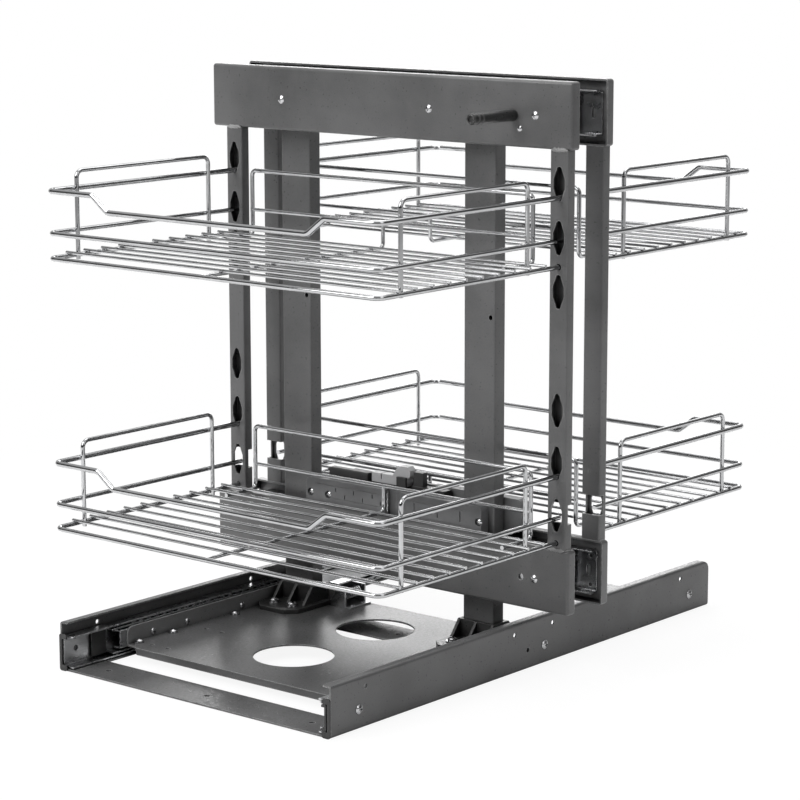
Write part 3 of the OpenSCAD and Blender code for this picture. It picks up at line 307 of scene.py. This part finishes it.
# Fasteners: painted shade in their recesses.
FASTENER = chrome("fastener", tint=(0.56, 0.56, 0.57), low=0.16, high=0.28, painted_recess_shade=0.003)
CAGE = ball_cage("ball_cage")
WELD = powder_coat("weld_coat", dark=(0.05, 0.05, 0.05), light=(0.26, 0.26, 0.26),
                   edge_wear_and_highlight=(0.5, 0.5, 0.5), grain=0.25)

# Nodes that take another look than that of their slot.
OWN = {name: FASTENER for name in ("base_rail_screws", "platform_screws", "foot_bolts",
                                   "damper_screws", "front_screws", "rear_screws")}
OWN["base_ball_cages"] = CAGE


def smooth_tree():
    """Geometry nodes that weld the imported faces and shade them smooth but for sharp edges."""
    tree = bpy.data.node_groups.new("smooth_by_angle", "GeometryNodeTree")
    for direction in ("INPUT", "OUTPUT"):
        tree.interface.new_socket("Geometry", in_out=direction,
                                  socket_type="NodeSocketGeometry")
    source = tree.nodes.new("NodeGroupInput")
    out = tree.nodes.new("NodeGroupOutput")
    weld = tree.nodes.new("GeometryNodeMergeByDistance")
    weld.inputs["Distance"].default_value = SAME_POINT
    angle = tree.nodes.new("GeometryNodeInputMeshEdgeAngle")
    limit = tree.nodes.new("FunctionNodeCompare")
    limit.data_type, limit.operation = "FLOAT", "LESS_THAN"
    limit.inputs[1].default_value = SMOOTH_BELOW
    faces = tree.nodes.new("GeometryNodeSetShadeSmooth")
    edges = tree.nodes.new("GeometryNodeSetShadeSmooth")
    faces.domain, edges.domain = "FACE", "EDGE"
    tree.links.new(source.outputs[0], weld.inputs["Geometry"])
    tree.links.new(weld.outputs["Geometry"], faces.inputs["Geometry"])
    tree.links.new(faces.outputs["Geometry"], edges.inputs["Geometry"])
    tree.links.new(angle.outputs["Unsigned Angle"], limit.inputs[0])
    tree.links.new(limit.outputs[0], edges.inputs["Shade Smooth"])
    tree.links.new(edges.outputs["Geometry"], out.inputs[0])
    return tree


def dress_nodes():
    """Every CAD node gets its material in each of its slots, and smooth round faces."""
    smooth = smooth_tree()
    for name, node in NODES.items():
        material = OWN.get(name, MATERIALS[SLOTS[name]])
        slots = node.data.materials
        for index in range(max(1, len(slots))):
            if index < len(slots):
                slots[index] = material
            else:
                slots.append(material)
        node.modifiers.new("smooth", "NODES").node_group = smooth


dress_nodes()


# ---------------------------------------------------------------- small pieces
def weld_bead(name, start, end, radius, body):
    """Rippled weld seam from start to end, flattened against the sheet."""
    start, end = Vector(start), Vector(end)
    along = (end - start).normalized()
    side = Vector((0, 1, 0)) if abs(along.y) < 0.9 else Vector((0, 0, 1))
    other = along.cross(side).normalized()
    count = max(12, int((end - start).length / BEAD_STEP))
    bm = bmesh.new()
    rings = []
    for i in range(count + 1):
        share = i / count
        # Thinner at both ends, with a ripple and an uneven line.
        swell = min(1.0, 4 * share + 0.25, 4 * (1 - share) + 0.25)
        ripple = 0.22 * abs(math.sin(i * 1.05))
        size = radius * swell * (0.8 + ripple + random.uniform(-0.12, 0.12))
        middle = start.lerp(end, share) + other * random.uniform(-0.2, 0.2) * radius
        ring = []
        for k in range(BEAD_SIDES):
            turn = k * math.tau / BEAD_SIDES
            height, width = BEAD_FLATNESS * size * math.cos(turn), size * math.sin(turn)
            ring.append(bm.verts.new(middle + side * height + other * width))
        rings.append(ring)
    for one, two in zip(rings, rings[1:]):
        for k in range(BEAD_SIDES):
            after = (k + 1) % BEAD_SIDES
            bm.faces.new((one[k], one[after], two[after], two[k])).smooth = True
    bm.faces.new(rings[0][::-1])
    bm.faces.new(rings[-1])
    bmesh.ops.recalc_face_normals(bm, faces=bm.faces)
    mesh = bpy.data.meshes.new(name)
    bm.to_mesh(mesh)
    bm.free()
    piece = bpy.data.objects.new(name, mesh)
    bpy.context.scene.collection.objects.link(piece)
    mesh.materials.append(WELD)
    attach(piece, body)


def build_welds():
    """Seams where the stiles meet the rails of both frames."""
    for side, body in (("front", "front_frame"), ("rear", "rear_frame")):
        for hand in ("left", "right"):
            lo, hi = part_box(side + "_" + hand + "_stile")
            if side == "front":
                face = lo.y + FACE_BEAD_SINK
            else:
                face = hi.y - FACE_BEAD_SINK
            for end, z in (("top", hi.z), ("bottom", lo.z)):
                weld_bead("weld_" + side + "_" + hand + "_" + end,
                          (lo.x + FACE_BEAD_INSET, face, z), (hi.x - FACE_BEAD_INSET, face, z),
                          FACE_BEAD, body)
            outer = hi.x - SIDE_BEAD_SINK if hand == "right" else lo.x + SIDE_BEAD_SINK
            weld_bead("weld_side_" + side + "_" + hand,
                      (outer, lo.y + SIDE_BEAD_INSET, lo.z), (outer, hi.y - SIDE_BEAD_INSET, lo.z),
                      SIDE_BEAD, body)


def build_spring_wire():
    """Bent wire in the slot between the front damper's two blocks."""
    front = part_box("front_damper")[0].y + WIRE_SINK
    curve = bpy.data.curves.new("spring_wire", "CURVE")
    curve.dimensions = "3D"
    curve.bevel_depth, curve.bevel_resolution = WIRE_RADIUS, 4
    curve.resolution_u = 8
    curve.use_fill_caps = True
    spline = curve.splines.new("NURBS")
    spline.points.add(len(WIRE_POINTS) - 1)
    for point, (x, z) in zip(spline.points, WIRE_POINTS):
        point.co = (x, front, z, 1)
    spline.use_endpoint_u = True
    spline.order_u = 3
    piece = bpy.data.objects.new("spring_wire", curve)
    bpy.context.scene.collection.objects.link(piece)
    curve.materials.append(MATERIALS["chrome"])
    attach(piece, "carriage")


build_welds()
build_spring_wire()


# ---------------------------------------------------------------- stage, light and camera
def build_floor():
    """Pale floor, which the camera sees as white but for a faint shadow near the object."""
    mesh = bpy.data.meshes.new("floor")
    bm = bmesh.new()
    bmesh.ops.create_grid(bm, x_segments=4, y_segments=4, size=FLOOR_HALF)
    bm.to_mesh(mesh)
    bm.free()
    floor = bpy.data.objects.new("floor", mesh)
    floor.location = (0, 0, -FLOOR_DROP)
    bpy.context.scene.collection.objects.link(floor)
    s = Shader("floor")
    s.set(colour=(0.86, 0.86, 0.86), rough=0.8, specular=0.1)
    white = s.new("ShaderNodeEmission")
    white.inputs["Strength"].default_value = 1.0
    path = s.new("ShaderNodeLightPath")
    centre = s.new("ShaderNodeVectorMath", operation="LENGTH")
    s.link(s.coord, centre.inputs[0])
    fade = s.range(centre.outputs["Value"], low=0.9, high=1.0, start=0.3, end=0.9)
    mix = s.new("ShaderNodeMixShader")
    s.link(s.multiply(fade, path.outputs["Is Camera Ray"]), mix.inputs["Fac"])
    s.link(s.bsdf.outputs[0], mix.inputs[1])
    s.link(white.outputs[0], mix.inputs[2])
    s.link(mix.outputs[0], s.tree.nodes["Material Output"].inputs["Surface"])
    mesh.materials.append(s.mat)


def build_room():
    """World: white for the camera, and a bright ceiling and far wall for the light."""
    world = bpy.data.worlds.new("studio")
    bpy.context.scene.world = world
    world.use_nodes = True
    tree = world.node_tree
    tree.nodes.clear()
    out = tree.nodes.new("ShaderNodeOutputWorld")
    coord = tree.nodes.new("ShaderNodeTexCoord").outputs["Generated"]

    def toward(direction, stops):
        """Brightness by the angle to one fixed direction of the room."""
        dot = tree.nodes.new("ShaderNodeVectorMath")
        dot.operation = "DOT_PRODUCT"
        dot.inputs[1].default_value = direction
        tree.links.new(coord, dot.inputs[0])
        ramp = tree.nodes.new("ShaderNodeValToRGB")
        tree.links.new(dot.outputs["Value"], ramp.inputs["Fac"])
        for element, (place, value) in zip(ramp.color_ramp.elements, (stops[0], stops[-1])):
            element.position, element.color = place, (value, value, value, 1)
        for place, value in stops[1:-1]:
            ramp.color_ramp.elements.new(place).color = (value, value, value, 1)
        return ramp.outputs["Color"]

    ceiling = toward((0, 0, 1), [(0.0, 0.08), (0.45, 0.14), (0.7, 0.9), (1.0, 1.0)])
    far_wall = toward((-0.62, 0.76, 0.18), [(0.0, 0.0), (0.45, 0.0), (0.78, 0.8), (1.0, 0.8)])
    lighter = tree.nodes.new("ShaderNodeMix")
    lighter.data_type, lighter.blend_type = "RGBA", "LIGHTEN"
    lighter.inputs["Factor"].default_value = 1.0
    tree.links.new(ceiling, lighter.inputs[MIX_A])
    tree.links.new(far_wall, lighter.inputs[MIX_B])
    room = tree.nodes.new("ShaderNodeBackground")
    room.inputs["Strength"].default_value = ROOM_STRENGTH
    tree.links.new(lighter.outputs[MIX_RESULT], room.inputs["Color"])
    white = tree.nodes.new("ShaderNodeBackground")
    white.inputs["Color"].default_value = (1, 1, 1, 1)
    white.inputs["Strength"].default_value = 1.0
    path = tree.nodes.new("ShaderNodeLightPath")
    mix = tree.nodes.new("ShaderNodeMixShader")
    tree.links.new(path.outputs["Is Camera Ray"], mix.inputs["Fac"])
    tree.links.new(room.outputs[0], mix.inputs[1])
    tree.links.new(white.outputs[0], mix.inputs[2])
    tree.links.new(mix.outputs[0], out.inputs["Surface"])


def area_light(name, place, target, size, watts):
    data = bpy.data.lights.new(name, "AREA")
    data.shape = "RECTANGLE"
    data.size, data.size_y = size
    data.energy = watts
    light = bpy.data.objects.new(name, data)
    light.location = place
    light.rotation_mode = "QUATERNION"
    light.rotation_quaternion = (Vector(target) - Vector(place)).to_track_quat("-Z", "Y")
    bpy.context.scene.collection.objects.link(light)


def build_camera():
    """Camera fitted to the photograph."""
    back = Vector((math.sin(CAMERA_AZIMUTH) * math.cos(CAMERA_ELEVATION),
                   -math.cos(CAMERA_AZIMUTH) * math.cos(CAMERA_ELEVATION),
                   math.sin(CAMERA_ELEVATION)))
    roll = Quaternion((0, 0, 1), CAMERA_ROLL)
    data = bpy.data.cameras.new("camera")
    data.sensor_width = 36.0
    data.lens = CAMERA_LENS
    data.clip_start, data.clip_end = 0.1, 50.0
    camera = bpy.data.objects.new("camera", data)
    camera.location = CAMERA_PLACE
    camera.rotation_mode = "QUATERNION"
    camera.rotation_quaternion = (-back).to_track_quat("-Z", "Y") @ roll
    bpy.context.scene.collection.objects.link(camera)
    bpy.context.scene.camera = camera


build_floor()
build_room()
area_light("key", place=(-0.7, -2.1, 1.9), target=(0, 0, 0.3), size=(1.8, 1.8), watts=66)
area_light("fill", place=(2.5, -0.4, 1.5), target=(0, 0, 0.25), size=(1.2, 1.8), watts=11)
area_light("top", place=(-0.3, 0.6, 2.4), target=(0, 0, 0.2), size=(2.2, 2.2), watts=38)
area_light("back", place=(-1.2, 1.65, 0.62), target=(0.1, -0.05, 0.01), size=(0.9, 0.6), watts=7)
build_camera()
bpy.context.scene.view_settings.view_transform = "Standard"
